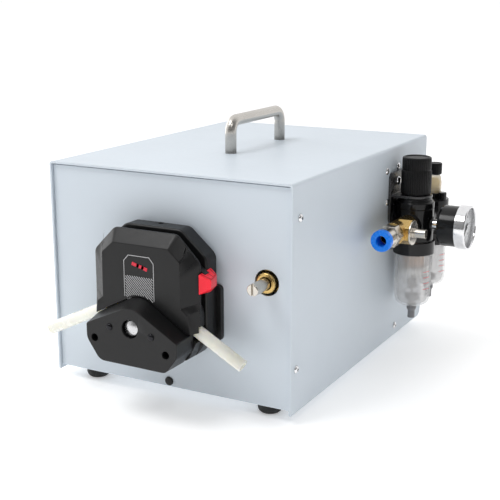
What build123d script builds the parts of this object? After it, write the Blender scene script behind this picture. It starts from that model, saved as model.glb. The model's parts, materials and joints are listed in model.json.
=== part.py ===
from build123d import *
from math import cos, radians, sin, sqrt
import os

# Air-driven peristaltic pump: sheet-metal cabinet, quick-load roller head on its front,
# air motor and gears inside, filter-regulator and lubricator on its right side.
# Millimetres. +X right, +Y to the rear, +Z up. Origin: centre of the outline, on the floor.

# ---- driving dimensions ----
width, depth, height = 250.0, 330.0, 203.0   # cover, outside
sheet = 2.0                                  # sheet-metal thickness
play = 0.3                                   # gap between separate bodies
recess = 3.0                                 # front and rear panels sit inside the cover
foot_drop = 8.5                              # cover's lower edge above the floor
head_reach = 57.5                            # pump head in front of the cover
gauge_reach = 80.0                           # gauge face beyond the right wall
muffler_reach = 32.5                         # silencer behind the cover
screw_proud = 2.0                            # side screw heads beyond the walls
head_screw_proud = 1.6                       # screw heads on the pump head's front

left = -(width + gauge_reach - screw_proud) / 2
right = left + width
front = -(depth + muffler_reach - head_reach - head_screw_proud) / 2
rear = front + depth
base = foot_drop
top = base + height

shaft_x = left + width / 2
shaft_z = base + 76.5
panel_face = front + recess
panel_back = panel_face + sheet

# roller head, depths from front to back
plate_face = front - 2.0
body_face = front - 19.0
cavity_back = front - 12.4
jaw_back = front - 28.0
block_face = front - 31.0
jaw_face = front - 39.5
cover_face = front - head_reach
tube_y = front - 25.0

roller_count = 4
roller_radius, roller_length, roller_orbit = 7.5, 17.6, 19.0
pin_radius = 2.5
shaft_radius = 5.0
swept_radius = roller_orbit + roller_radius
bed_radius = 30.5
cavity_radius = 28.0
tube_outer, tube_bore = 5.6, 3.2
flat_radius = (swept_radius + bed_radius) / 2
flat_half = (bed_radius - swept_radius) / 2 - play
wrap = 45.0
jaw_lift = 12.0
lever_pivot_z = base + 143.0

# gears
module_size = 1.5
pinion_teeth, wheel_teeth = 16, 48
gear_width = 12.0
gear_y = panel_back + 14.0
motor_z = shaft_z + module_size * (pinion_teeth + wheel_teeth) / 2

# filter-regulator and lubricator
unit_x = right + 22.0
regulator_y = front + 238.0
lubricator_y = front + 290.0
elbow_y = front + 318.0
port_z = base + 127.0
valve_x = left + 225.0
valve_z = base + 116.0
foot_radius = 11.2
foot_spots = [(x, y) for x in (left + 31, right - 31) for y in (front + 22, rear - 28)]
handle_y = (front + 119.5, front + 223.5)
handle_radius, handle_height = 5.5, 36.5

# screw places on the side walls: distance from the front, height above the cover's lower edge
side_screws = ((14.6, 172.6), (9.3, 40.5), (247.9, 10.6))
unit_screws = ((243.4, 182.0), (212.1, 181.1), (214.3, 149.2))
bracket_screws = ((238.0, 168.0), (255.0, 136.0))

os.makedirs("parts", exist_ok=True)


# ---- helpers ----
def facing(y, x=shaft_x, z=base):
    """Plane that looks to the front: local x to the right, local y up, grows forwards."""
    return Plane(origin=(x, y, z), x_dir=(1, 0, 0), z_dir=(0, -1, 0))


def rightward(x, y, z):
    """Plane whose normal points to the right, for bars along X."""
    return Plane(origin=(x, y, z), x_dir=(0, 1, 0), z_dir=(1, 0, 0))


def level(x, y, z):
    """Horizontal plane at a point."""
    return Plane(origin=(x, y, z))


def disc(plane, radius, length, inner=0.0, mode=Mode.ADD):
    """Round bar or ring that grows from a plane."""
    with BuildSketch(plane) as profile:
        Circle(radius)
        if inner:
            Circle(inner, mode=Mode.SUBTRACT)
    extrude(profile.sketch, amount=length, mode=mode)


def slab(plane, points, length, taper=0.0, mode=Mode.ADD):
    """Straight-sided outline that grows from a plane."""
    with BuildSketch(plane) as profile:
        with BuildLine():
            Polyline(*points, close=True)
        make_face()
    extrude(profile.sketch, amount=length, taper=taper, mode=mode)


def rounded(plane, corners):
    """Closed outline on a plane from corners given as x, y and corner radius."""
    with BuildSketch(plane) as profile:
        with BuildLine():
            Polyline(*[(x, y) for x, y, radius in corners], close=True)
        make_face()
        for x, y, radius in corners:
            if radius:
                fillet(profile.vertices().sort_by_distance((x, y))[0], radius=radius)
    return profile.sketch


def block(low, high, mode=Mode.ADD):
    """Box between two corners."""
    with Locations(tuple((a + b) / 2 for a, b in zip(low, high))):
        Box(*[b - a for a, b in zip(low, high)], mode=mode)


def spun(plane, points, mode=Mode.ADD):
    """Turned piece: radius and height points, turned about the plane's normal."""
    side = Plane(origin=plane.origin, x_dir=plane.x_dir, z_dir=-plane.y_dir)
    with BuildSketch(side) as profile:
        with BuildLine():
            Polyline(*points, close=True)
        make_face()
    revolve(profile.sketch, axis=Axis(plane.origin, plane.z_dir), mode=mode)


def mirrored(points):
    """Closed outline from its right half, listed from top to bottom; corner radii are kept."""
    return points + [(-x, *rest) for x, *rest in reversed(points)]


def save(piece, name):
    piece.part.label = name
    export_step(piece.part, f"parts/{name}.step")


# ---- cabinet ----
with BuildPart() as cover:
    block((left, front, base), (right, rear, top))
    fillet(cover.edges().filter_by(Axis.Y).group_by(Axis.Z)[-1], radius=3)
    block((left + sheet, front, base), (right - sheet, rear, top - sheet), mode=Mode.SUBTRACT)
    fillet(cover.edges().filter_by(Axis.X).group_by(Axis.Z)[0].group_by(Axis.Y)[-1], radius=8)
    for y in handle_y:
        disc(level(shaft_x, y, top), 2.7, -sheet, mode=Mode.SUBTRACT)
    for y, z in bracket_screws:
        disc(rightward(right, front + y, base + z), 2.7, -sheet, mode=Mode.SUBTRACT)
    for y, z in side_screws + unit_screws:
        disc(rightward(right, front + y, base + z), 1.7, -sheet, mode=Mode.SUBTRACT)
    for y, z in side_screws:
        disc(rightward(left, front + y, base + z), 1.7, sheet, mode=Mode.SUBTRACT)
    disc(rightward(right, elbow_y, port_z), 6.3, -sheet, mode=Mode.SUBTRACT)
save(cover, "cover")

inner_left, inner_right = left + sheet + play, right - sheet - play
floor_z = base + 3.0
panel_top = top - sheet - 1.3
flange = 24.0

with BuildPart() as chassis:
    block((inner_left, panel_face, floor_z), (inner_right, rear - recess - sheet, floor_z + sheet))
    block((inner_left, panel_face, floor_z), (inner_right, panel_back, panel_top))
    fillet(chassis.edges().filter_by(Axis.X).sort_by_distance((shaft_x, panel_face, floor_z))[0], radius=2)
    for x in (inner_left, inner_right - sheet):
        block((x, panel_face, floor_z), (x + sheet, panel_face + flange, panel_top))
        block((x, panel_face, floor_z), (x + sheet, rear - recess - sheet, floor_z + 14))
    disc(facing(panel_face, z=shaft_z), 11.3, -sheet, mode=Mode.SUBTRACT)
    disc(facing(panel_face, valve_x, valve_z), 11.65, -sheet, mode=Mode.SUBTRACT)
    disc(facing(panel_face, z=base + 9.0), 2.6, -sheet, mode=Mode.SUBTRACT)
    for y, z in side_screws:
        for x in (inner_left, inner_right - sheet):
            disc(rightward(x, front + y, base + z), 1.7, sheet, mode=Mode.SUBTRACT)
    for x, y in foot_spots:
        disc(level(x, y, floor_z), 2.7, sheet, mode=Mode.SUBTRACT)
save(chassis, "chassis")

vent_x, vent_rows, vent_pitch = shaft_x, 6, 9.0
muffler_x, muffler_z = left + 62.0, base + 60.0
with BuildPart() as rear_panel:
    block((inner_left, rear - recess - sheet, floor_z), (inner_right, rear - recess, panel_top))
    block((inner_left + 3, rear - recess - sheet - 16, floor_z + sheet),
          (inner_right - 3, rear - recess - sheet, floor_z + 2 * sheet))
    with BuildSketch(facing(rear - recess, vent_x)) as vents:
        with GridLocations(0, vent_pitch, 1, vent_rows):
            with Locations((0, 145)):
                SlotOverall(90, 4)
    extrude(vents.sketch, amount=sheet, mode=Mode.SUBTRACT)
    disc(facing(rear - recess, muffler_x, muffler_z), 6.7, sheet, mode=Mode.SUBTRACT)
save(rear_panel, "rear_panel")


def pan_screw(plane, head_radius, head_height, shank_radius, shank_length):
    """Domed screw: its head stands on the plane and its shank goes below."""
    spun(plane, [(0, head_height), (head_radius * 0.55, head_height), (head_radius * 0.9, head_height * 0.6),
                 (head_radius, 0), (shank_radius, 0), (shank_radius, -shank_length), (0, -shank_length)])


with BuildPart() as cover_screws:
    for y, z in side_screws + unit_screws:
        pan_screw(rightward(right, front + y, base + z), 3.6, screw_proud, 1.6, 7)
    for y, z in side_screws:
        outward = Plane(origin=(left, front + y, base + z), x_dir=(0, 1, 0), z_dir=(-1, 0, 0))
        pan_screw(outward, 3.6, screw_proud, 1.6, 7)
save(cover_screws, "cover_screws")

with BuildPart() as rubber_feet:
    for x, y in foot_spots:
        spun(level(x, y, 0), [(2.7, 5), (2.7, floor_z), (foot_radius, floor_z), (foot_radius, 4.5),
                              (foot_radius - 0.8, 2), (foot_radius - 2.6, 0.4), (foot_radius - 4, 0), (5.2, 0),
                              (5.2, 5)])
save(rubber_feet, "rubber_feet")

with BuildPart() as case_screws:
    for x, y in foot_spots:
        pan_screw(Plane(origin=(x, y, 5), z_dir=(0, 0, -1)), 4.6, 2.8, 2.5, 13)
    for y in handle_y:
        pan_screw(Plane(origin=(shaft_x, y, top - sheet), z_dir=(0, 0, -1)), 4.6, 2.8, 2.5, 13)
    for y, z in bracket_screws:
        pan_screw(rightward(right + 2.5, front + y, base + z), 4.6, 2.8, 2.5, 13)
save(case_screws, "case_screws")

bow_z = top + handle_height - handle_radius
with BuildPart() as carry_handle:
    with BuildLine() as bow:
        FilletPolyline((shaft_x, handle_y[0], top), (shaft_x, handle_y[0], bow_z),
                       (shaft_x, handle_y[1], bow_z), (shaft_x, handle_y[1], top), radius=11)
    with BuildSketch(level(shaft_x, handle_y[0], top)) as rod:
        Circle(handle_radius)
    sweep(rod.sketch, path=bow.wire())
    for y in handle_y:
        disc(level(shaft_x, y, top), 2.5, 12, mode=Mode.SUBTRACT)
save(carry_handle, "carry_handle")

with BuildPart() as panel_plug:
    spun(facing(panel_face, z=base + 9.0), [(0, 2.2), (3.2, 2.0), (4.2, 1.0), (4.2, 0), (2.6, 0), (2.6, -2.0),
                                           (1.5, -4.0), (0, -4.0)])
save(panel_plug, "panel_plug")

# ---- roller head ----
with BuildPart() as mount_plate:
    with BuildSketch(facing(panel_face)) as plate_outline:
        with Locations((0, 83.25)):
            RectangleRounded(116, 50.5, 4)
        with Locations((0, 76.5)):
            Circle(11.3, mode=Mode.SUBTRACT)
        with Locations((-40, 66), (40, 66), (-40, 100), (40, 100)):
            Circle(2.2, mode=Mode.SUBTRACT)
    extrude(plate_outline.sketch, amount=panel_face - plate_face)
save(mount_plate, "mount_plate")

head_half = 53.8
body_outline = mirrored([(28.5, 158.8, 10), (head_half, 136.8, 10), (head_half, 64, 8), (42, 47.6, 6), (30, 43, 5)])
lower_outline = mirrored([(44, 67, 0), (50, 64, 0), (42, 47.6, 6), (30, 43, 5)])
bearing_radius, bearing_width = 11.0, 7.0
cover_bolts = [(-37.1, 63.4), (35.8, 59.1)]
face_screws = [(-21.2, 75.4), (21.4, 72.7)]
jaw_half, jaw_top = 43.0, 118.0
guide_play = 0.2
pocket_low, pocket_high = 76.0, jaw_top + jaw_lift + 1
pocket_depth = 2.6
latch_hole_y = front - 5.2

with BuildPart() as head_body:
    extrude(rounded(facing(plate_face), body_outline), amount=plate_face - body_face)
    chamfer(head_body.faces().sort_by(Axis.Y)[0].outer_wire().edges(), length=1.2)
    extrude(rounded(facing(body_face), lower_outline), amount=body_face - block_face)
    disc(facing(cavity_back, z=shaft_z), cavity_radius, cavity_back - block_face, mode=Mode.SUBTRACT)
    disc(facing(plate_face, z=shaft_z), bearing_radius, 12, mode=Mode.SUBTRACT)
    half = jaw_half + guide_play
    slab(facing(body_face), [(-half, pocket_low), (half, pocket_low), (half, pocket_high), (-half, pocket_high)],
         -pocket_depth, mode=Mode.SUBTRACT)
    for x, z in cover_bolts:
        disc(facing(block_face, shaft_x + x, base + z), 2.0, -20, mode=Mode.SUBTRACT)
    disc(level(shaft_x, latch_hole_y, base + 158.8), 2.5, -9, mode=Mode.SUBTRACT)
    disc(facing(body_face, z=lever_pivot_z), 4.0, 8.4)
save(head_body, "head_body")

# the cover's sides run straight back; its arched top is deeper at the jaw
left_side = [(-32.5, 43.4, 10), (-45.6, 62, 12)]
right_side = [(46.6, 57.5, 8), (35.5, 42.7, 8)]
face_outline = [(1.3, 96.9, 24), (47.2, 70.1, 1.5), *right_side, *left_side, (-45.6, 75.5, 2.5)]
arch_outline = [(-0.7, 103.3, 23), (47.2, 71.7, 1.5), *right_side, *left_side, (-45.6, 80.2, 2.5)]
cover_depth = block_face - cover_face
front_bearing_y = front - 45.0
tube_relief = 2.2
window_radius = 8.2
with BuildPart() as rotor_cover:
    arch_sketch = rounded(facing(jaw_face), arch_outline)
    extrude(arch_sketch, amount=jaw_face - block_face)
    loft([arch_sketch, rounded(facing(cover_face), face_outline)], ruled=True)
    slab(facing(block_face), [(-60, 80), (60, 80), (60, 110), (-60, 110)], tube_relief, mode=Mode.SUBTRACT)
    axis_back = facing(block_face, z=shaft_z)
    disc(axis_back, cavity_radius, 6.6, mode=Mode.SUBTRACT)
    disc(axis_back, bearing_radius, 21, mode=Mode.SUBTRACT)
    disc(axis_back, window_radius, cover_depth, mode=Mode.SUBTRACT)
    for x, z in face_screws:
        disc(facing(cover_face, shaft_x + x, base + z), 1.6, -13, mode=Mode.SUBTRACT)
    for x, z in cover_bolts:
        disc(facing(block_face, shaft_x + x, base + z), 2.2, cover_depth, mode=Mode.SUBTRACT)
        disc(facing(cover_face, shaft_x + x, base + z), 3.4, -7, mode=Mode.SUBTRACT)
save(rotor_cover, "rotor_cover")

with BuildPart() as head_screws:
    for x, z in face_screws:
        pan_screw(facing(cover_face, shaft_x + x, base + z), 3.3, head_screw_proud, 1.5, 12)
    for x, z in cover_bolts:
        pan_screw(facing(cover_face + 7, shaft_x + x, base + z), 3.2, 2.4, 2.0, 36)
save(head_screws, "head_screws")

rim_outline = [(32, 157.2, 8), (head_half, 135, 8), (head_half, 95.6, 0), (head_half, 89.6, 0), (head_half, 65, 0)]
crown_left = [(28, 146, 3), (39.5, 136, 3), (40, 95.6, 0), (47, 89.6, 0), (48.5, 65, 0)]
crown_outline = crown_left[:-1] + [(51, 65, 0)] + mirrored(crown_left)[5:]
notch = [(60, 40, 0), (60, 73.7, 0), (45, 73.7, 2), (-0.66, 103.8, 22.8), (-60, 73.3, 0), (-60, 40, 0)]
rim_depth = 2.0
bed_depth = 9.6
jaw_plate = 5.4
shoe_pocket = 3.2
with BuildPart() as jaw_cover:
    extrude(rounded(facing(jaw_back), mirrored(rim_outline)), amount=rim_depth)
    loft([rounded(facing(jaw_back - rim_depth), mirrored(rim_outline)), rounded(facing(jaw_face), crown_outline)],
         ruled=True)
    extrude(rounded(facing(jaw_back + 1), notch), amount=20, mode=Mode.SUBTRACT)
    disc(facing(jaw_back, z=shaft_z), bed_radius, bed_depth, mode=Mode.SUBTRACT)
    slab(facing(jaw_back), [(-jaw_half, 60), (jaw_half, 60), (jaw_half, jaw_top), (-jaw_half, jaw_top)], jaw_plate,
         mode=Mode.SUBTRACT)
    for side, tube_top in ((-1, 86), (1, 79)):
        slab(facing(jaw_back), [(side * 43, 60), (side * 54, 60), (side * 54, tube_top), (side * 52.2, tube_top),
                                (side * 52.2, 96), (side * 43, 96)], shoe_pocket, mode=Mode.SUBTRACT)
save(jaw_cover, "jaw_cover")

# tube run through the head: a straight stub on each side and a squeezed wrap over the rollers
left_end, left_inner = (-110.5, 50.6), (-44.0, 82.75)
right_inner, right_end = (44.0, 75.24), (92.2, 48.85)
wrap_x = flat_radius * sin(radians(wrap))
wrap_z = 76.5 + flat_radius * cos(radians(wrap))
bed_x = bed_radius * sin(radians(wrap))
bed_z = 76.5 + bed_radius * cos(radians(wrap))

jaw_tongue = 2.4   # how far the jaw reaches into the guide pocket
with BuildPart() as upper_jaw:
    with BuildSketch(facing(jaw_back - jaw_plate)) as jaw_shape:
        with BuildLine():
            Polyline((-bed_x, bed_z), (-jaw_half, 91), (-jaw_half, jaw_top), (jaw_half, jaw_top),
                     (jaw_half, 83.5), (bed_x, bed_z))
            ThreePointArc((bed_x, bed_z), (0, 76.5 + bed_radius), (-bed_x, bed_z))
        make_face()
    extrude(jaw_shape.sketch, amount=jaw_back - jaw_plate - body_face - jaw_tongue)
save(upper_jaw, "upper_jaw")

arm_back, arm_front = body_face - 1.0, jaw_back + 0.6
arm_thickness = arm_back - arm_front
cam_reach = 23.2
pivot_up = 143.0
with BuildPart() as lever_arm:
    disc(facing(arm_back, z=lever_pivot_z), 11.0, arm_thickness)
    slab(facing(arm_back), [(-4, pivot_up), (4, pivot_up), (4, pivot_up - cam_reach + 1.5),
                            (2.5, pivot_up - cam_reach), (-2.5, pivot_up - cam_reach),
                            (-4, pivot_up - cam_reach + 1.5)], arm_thickness)
    slab(facing(arm_back), [(3, 153), (48, 131.5), (57.4, 125), (57.4, 112), (54.2, 112), (54.2, 121), (-5, 136)],
         arm_thickness)
    disc(facing(arm_back, z=lever_pivot_z), 4.05, arm_thickness, mode=Mode.SUBTRACT)
save(lever_arm, "lever_arm")

tip_face, tip_rear = front - 33.0, front - 12.5
tip_front_outline = [(54.2, 108.2), (54.2, 125.8), (66.2, 122.6), (66.6, 121.8), (66.5, 114.6)]
tip_rear_outline = [(54.2, 105.8), (54.2, 127.4), (59.8, 122.3), (60.3, 121.5), (60.2, 112.4)]
with BuildPart() as lever_tip:
    loft([rounded(facing(tip_rear), [(x, z, 0) for x, z in tip_rear_outline]),
          rounded(facing(tip_face), [(x, z, 0) for x, z in tip_front_outline])], ruled=True)
    slab(facing(arm_back), [(53, 112), (57.4, 112), (57.4, 128), (53, 128)], arm_thickness, mode=Mode.SUBTRACT)
save(lever_tip, "lever_tip")


def clamp(side, end, inner, name):
    """Sprung shoe that presses the tube where it leaves the head."""
    slope = (inner[1] - end[1]) / (inner[0] - end[0])
    near = inner[1] + slope * (side * 45.6 - inner[0])
    far = inner[1] + slope * (side * 51.8 - inner[0])
    rise = 6.7
    with BuildPart() as shoe:
        slab(facing(body_face - 0.6),
             [(side * 45.6, near + rise), (side * 51.8, far + rise), (side * 51.8, 88), (side * 50, 95),
              (side * 45.6, 95)], 8.0)
    save(shoe, name)


clamp(-1, left_end, left_inner, "clamp_left")
clamp(1, right_end, right_inner, "clamp_right")


def tube_plane(point, angle):
    """Plane square to the tube where it runs at an angle below the level, to the right."""
    return Plane(origin=(shaft_x + point[0], tube_y, base + point[1]), x_dir=(0, 1, 0),
                 z_dir=(cos(radians(angle)), 0, -sin(radians(angle))))


left_slope = Vector(left_inner[0] - left_end[0], left_inner[1] - left_end[1]).get_angle(Vector(1, 0))
right_slope = Vector(right_end[0] - right_inner[0], right_end[1] - right_inner[1]).get_angle(Vector(1, 0))
flat_width = 15.0
with BuildPart() as pump_tube:
    for start, end, angle in ((left_end, left_inner, -left_slope), (right_end, right_inner, 180 + right_slope)):
        reach = sqrt((end[0] - start[0]) ** 2 + (end[1] - start[1]) ** 2)
        disc(tube_plane(start, angle), tube_outer, reach, inner=tube_bore)
    for inner, side, slope in ((left_inner, -1, -left_slope), (right_inner, 1, right_slope)):
        with BuildSketch(tube_plane(inner, slope)) as round_end:
            Circle(tube_outer)
        with BuildSketch(tube_plane((side * wrap_x, wrap_z), side * wrap)) as flat_end:
            SlotOverall(flat_width, 2 * flat_half)
        loft([round_end.sketch, flat_end.sketch])
    with BuildSketch(tube_plane((-wrap_x, wrap_z), -wrap)) as flat_start:
        SlotOverall(flat_width, 2 * flat_half)
    revolve(flat_start.sketch, axis=Axis((shaft_x, tube_y, shaft_z), (0, 1, 0)), revolution_arc=2 * wrap)
save(pump_tube, "pump_tube")

# ---- rotor ----
flange_radius, flange_thickness = 23.5, 3.0
rotor_half = roller_length / 2 + 0.4 + flange_thickness
rotor_back = tube_y + rotor_half


def around(count, radius):
    """Evenly spaced points on a circle round the shaft."""
    return [(radius * cos(radians(360 / count * i + 45)), radius * sin(radians(360 / count * i + 45)))
            for i in range(count)]


with BuildPart() as rotor_hub:
    disc(facing(rotor_back, z=shaft_z), 8.0, 2 * rotor_half)
    disc(facing(rotor_back, z=shaft_z), flange_radius, flange_thickness)
    disc(facing(tube_y - rotor_half + flange_thickness, z=shaft_z), flange_radius, flange_thickness)
    disc(facing(rotor_back, z=shaft_z), shaft_radius, 2 * rotor_half, mode=Mode.SUBTRACT)
    for x, z in around(roller_count, roller_orbit):
        disc(facing(rotor_back, shaft_x + x, shaft_z + z), pin_radius, 2 * rotor_half, mode=Mode.SUBTRACT)
save(rotor_hub, "rotor_hub")

with BuildPart() as roller_pins:
    for x, z in around(roller_count, roller_orbit):
        disc(facing(rotor_back, shaft_x + x, shaft_z + z), pin_radius, 2 * rotor_half)
save(roller_pins, "roller_pins")

for number, (x, z) in enumerate(around(roller_count, roller_orbit), start=1):
    with BuildPart() as roller:
        disc(facing(tube_y + roller_length / 2, shaft_x + x, shaft_z + z), roller_radius, roller_length,
             inner=pin_radius + 0.05)
        fillet(roller.edges().filter_by(GeomType.CIRCLE).group_by(SortBy.RADIUS)[-1], radius=1)
    save(roller, f"roller_{number}")

shaft_tail = gear_y + gear_width + 3
with BuildPart() as drive_shaft:
    disc(facing(shaft_tail, z=shaft_z), shaft_radius, shaft_tail - (front - 52.6))
    disc(facing(front - 52.6, z=shaft_z), 7.2, 2.6)
    chamfer(drive_shaft.faces().sort_by(Axis.Y)[0].edges(), length=0.8)
save(drive_shaft, "drive_shaft")

with BuildPart() as shaft_bearings:
    for y in (front - 4.0, front_bearing_y + 1):
        disc(facing(y, z=shaft_z), bearing_radius, bearing_width, inner=shaft_radius + 0.05)
save(shaft_bearings, "shaft_bearings")


# ---- gears, gearbox and air motor ----
def involute(base_radius, radius):
    """Polar angle, in radians, of the involute of a base circle at a radius."""
    roll = sqrt(max((radius / base_radius) ** 2 - 1, 0))
    return roll - Vector(1, 0).get_angle(Vector(1, roll)) * radians(1)


def gear_outline(teeth, phase):
    """Closed outline of a spur gear, with a little backlash, one tooth at the phase angle."""
    pitch = module_size * teeth / 2
    base_radius = pitch * cos(radians(20))
    tip, root = pitch + 0.95 * module_size, pitch - 1.25 * module_size
    half_tooth = radians(90 / teeth) - 0.15 / pitch
    start = max(base_radius, root + 0.1)
    steps = [start + (tip - start) * i / 4 for i in range(5)]
    flank = [(r, half_tooth + involute(base_radius, pitch) - involute(base_radius, r)) for r in steps]
    points = []
    for tooth in range(teeth):
        middle = radians(phase + 360 / teeth * tooth)
        foot = flank[0][1]
        turn = [(root, -foot)] + [(r, -a) for r, a in flank] + [(r, a) for r, a in reversed(flank)] + [(root, foot)]
        points += [(r * cos(middle + a), r * sin(middle + a)) for r, a in turn]
    return points


with BuildPart() as output_gear:
    slab(facing(gear_y + gear_width, z=shaft_z), gear_outline(wheel_teeth, 90), gear_width)
    disc(facing(gear_y + gear_width, z=shaft_z), shaft_radius, gear_width, mode=Mode.SUBTRACT)
    for side in (gear_y + gear_width, gear_y + 4):
        disc(facing(side, z=shaft_z), 30, 4, inner=11, mode=Mode.SUBTRACT)
save(output_gear, "output_gear")

gearbox_back = gear_y + gear_width + 12
motor_length, motor_radius, rotor_radius = 78.0, 29.0, 19.0
stator_radius, stator_drop = 21.5, 2.0
with BuildPart() as gearbox_housing:
    with BuildSketch(facing(gearbox_back)) as case_shape:
        with Locations((0, 92)):
            RectangleRounded(92, 124, 12)
    extrude(case_shape.sketch, amount=gearbox_back - panel_back)
    with BuildSketch(facing(gearbox_back - 5)) as case_hollow:
        with Locations((0, 92)):
            RectangleRounded(84, 116, 8)
    extrude(case_hollow.sketch, amount=gearbox_back - 5 - panel_back, mode=Mode.SUBTRACT)
    disc(facing(gearbox_back, z=motor_z), 6.0, 5, mode=Mode.SUBTRACT)
save(gearbox_housing, "gearbox_housing")

motor_back = gearbox_back + motor_length
with BuildPart() as motor_housing:
    disc(facing(motor_back, z=motor_z), motor_radius, motor_length)
    for y in (motor_back, gearbox_back + 8):
        disc(facing(y, z=motor_z), motor_radius + 3, 8)
    disc(facing(motor_back - 8, z=motor_z - stator_drop), stator_radius, motor_length - 16, mode=Mode.SUBTRACT)
    disc(facing(motor_back - 3, z=motor_z), 5.05, motor_length - 3, mode=Mode.SUBTRACT)
    for x in (-18, 18):
        disc(level(shaft_x + x, motor_back - 30, motor_z + motor_radius - 8), 9, 12)
        disc(level(shaft_x + x, motor_back - 30, motor_z + motor_radius + 4), 5, -16, mode=Mode.SUBTRACT)
save(motor_housing, "motor_housing")

with BuildPart() as motor_rotor:
    disc(facing(motor_back - 8.6, z=motor_z), rotor_radius, motor_length - 17.2)
    disc(facing(motor_back - 3.5, z=motor_z), 5.0, motor_back - 3.5 - gear_y)
    slab(facing(gear_y + gear_width, z=motor_z), gear_outline(pinion_teeth, -90 + 180 / pinion_teeth), gear_width)
    with BuildSketch(facing(motor_back - 8.6, z=motor_z)) as vane_shapes:
        with PolarLocations(rotor_radius - 0.5, 5):
            Rectangle(1.6, 2)
    extrude(vane_shapes.sketch, amount=motor_length - 17.2)
save(motor_rotor, "motor_rotor")

# ---- speed valve ----
sleeve_radius, stem_radius = 7.5, 5.3
stem_end = front - 23.5
slot_depth = 2.6
with BuildPart() as valve_body:
    disc(facing(panel_back + 38, valve_x, valve_z), sleeve_radius, 36)
    block((valve_x - 12, panel_back + 10, valve_z - 12), (valve_x + 12, panel_back + 38, valve_z + 12))
    disc(facing(panel_back + 30, valve_x, valve_z), 5.05, 40, mode=Mode.SUBTRACT)
    disc(level(valve_x, panel_back + 24, valve_z - 12), 5, 9, mode=Mode.SUBTRACT)
    disc(facing(panel_back + 38, valve_x, valve_z), 4.5, 6, mode=Mode.SUBTRACT)
save(valve_body, "valve_body")

with BuildPart() as valve_nut:
    spun(facing(panel_back + 3, valve_x, valve_z),
         [(sleeve_radius, 0), (9.25, 0), (9.25, 6.6), (8.8, 7.8), (7.8, 8.4), (5.9, 8.4), (5.9, 5.2),
          (sleeve_radius, 5.2)])
save(valve_nut, "valve_nut")

with BuildPart() as valve_stem:
    disc(facing(panel_back + 28, valve_x, valve_z), 5.0, 28)
    disc(facing(panel_back, valve_x, valve_z), stem_radius, panel_back - stem_end)
    chamfer(valve_stem.faces().sort_by(Axis.Y)[0].edges(), length=0.6)
    block((valve_x - 0.9, stem_end, valve_z - 8), (valve_x + 0.9, stem_end + slot_depth, valve_z + 8),
          mode=Mode.SUBTRACT)
save(valve_stem, "valve_stem")


# ---- air hoses and silencer ----
def hose(points, radius, bend):
    """Round hose along straight runs joined by arcs."""
    with BuildLine() as route:
        FilletPolyline(*points, radius=bend)
    line = route.wire()
    with BuildSketch(Plane(origin=line @ 0, z_dir=line % 0)) as ring:
        Circle(radius)
        Circle(radius - 1.5, mode=Mode.SUBTRACT)
    sweep(ring.sketch, path=line)


hose_radius = 4.0
port_y = motor_back - 30
port_top = motor_z + motor_radius - 6
with BuildPart() as supply_hose:
    hose([(right + 6, elbow_y, port_z), (right - 30, elbow_y, port_z), (right - 30, front + 230, port_z - 70),
          (valve_x, front + 120, valve_z - 60), (valve_x, panel_back + 24, valve_z - 60),
          (valve_x, panel_back + 24, valve_z - 5)], hose_radius, 22)
with BuildPart() as motor_hose:
    hose([(valve_x, panel_back + 33, valve_z), (valve_x, port_y, valve_z), (valve_x, port_y, base + 184),
          (shaft_x + 18, port_y, base + 184), (shaft_x + 18, port_y, port_top)], hose_radius, 14)
with BuildPart() as exhaust_hose:
    hose([(shaft_x - 18, port_y, port_top), (shaft_x - 18, port_y, top - 14), (muffler_x, port_y + 60, top - 30),
          (muffler_x, rear - 60, muffler_z), (muffler_x, rear - recess - 12, muffler_z)], hose_radius, 16)
with BuildPart() as air_hoses:
    for run in (supply_hose, motor_hose, exhaust_hose):
        add(run.part)
save(air_hoses, "air_hoses")

with BuildPart() as muffler:
    rear_plane = Plane(origin=(muffler_x, rear - recess, muffler_z), x_dir=(1, 0, 0), z_dir=(0, 1, 0))
    tail = muffler_reach + recess
    spun(rear_plane, [(0, tail), (5, tail), (8, tail - 4), (8, 6), (10, 6), (10, 0), (6.4, 0), (6.4, -12),
                      (2.5, -12), (2.5, 10), (0, 10)])
save(muffler, "muffler")

# ---- filter-regulator and lubricator ----
with BuildPart() as frl_bracket:
    block((right, regulator_y - 19.6, base + 126), (right + 2.5, regulator_y + 23, base + 178))
    fillet(frl_bracket.edges().filter_by(Axis.X), radius=6)
    block((right, regulator_y - 17, base + 153.6), (unit_x, regulator_y + 17, base + 156))
    disc(level(unit_x, regulator_y, base + 153.6), 17, 2.4)
    disc(level(unit_x, regulator_y, base + 153.6), 11, 2.4, mode=Mode.SUBTRACT)
    for y, z in bracket_screws:
        disc(rightward(right, front + y, base + z), 2.7, 2.5, mode=Mode.SUBTRACT)
save(frl_bracket, "frl_bracket")

unit_low, unit_high = base + 109, base + 143
unit_radius, oiler_half = 19.0, 17.5
port_reach = 21.0                            # port faces before and behind the regulator's centre
stem_start = unit_x + 10.0
with BuildPart() as regulator_body:
    disc(level(unit_x, regulator_y, unit_low), unit_radius, unit_high - unit_low)
    fillet(regulator_body.edges().filter_by(GeomType.CIRCLE), radius=1)
    disc(facing(regulator_y - 12, unit_x, port_z), 12, port_reach - 12)
    disc(facing(regulator_y + unit_radius, unit_x, port_z), 12, 6)
    disc(rightward(stem_start, regulator_y, port_z), 7, 10)
    disc(facing(regulator_y - port_reach, unit_x, port_z), 6.4, -14, mode=Mode.SUBTRACT)
    disc(facing(regulator_y + unit_radius, unit_x, port_z), 6.4, 12, mode=Mode.SUBTRACT)
    disc(rightward(stem_start, regulator_y, port_z), 4, 10, mode=Mode.SUBTRACT)
    disc(level(unit_x, regulator_y, unit_low), 12, 6, mode=Mode.SUBTRACT)
save(regulator_body, "regulator_body")

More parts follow.
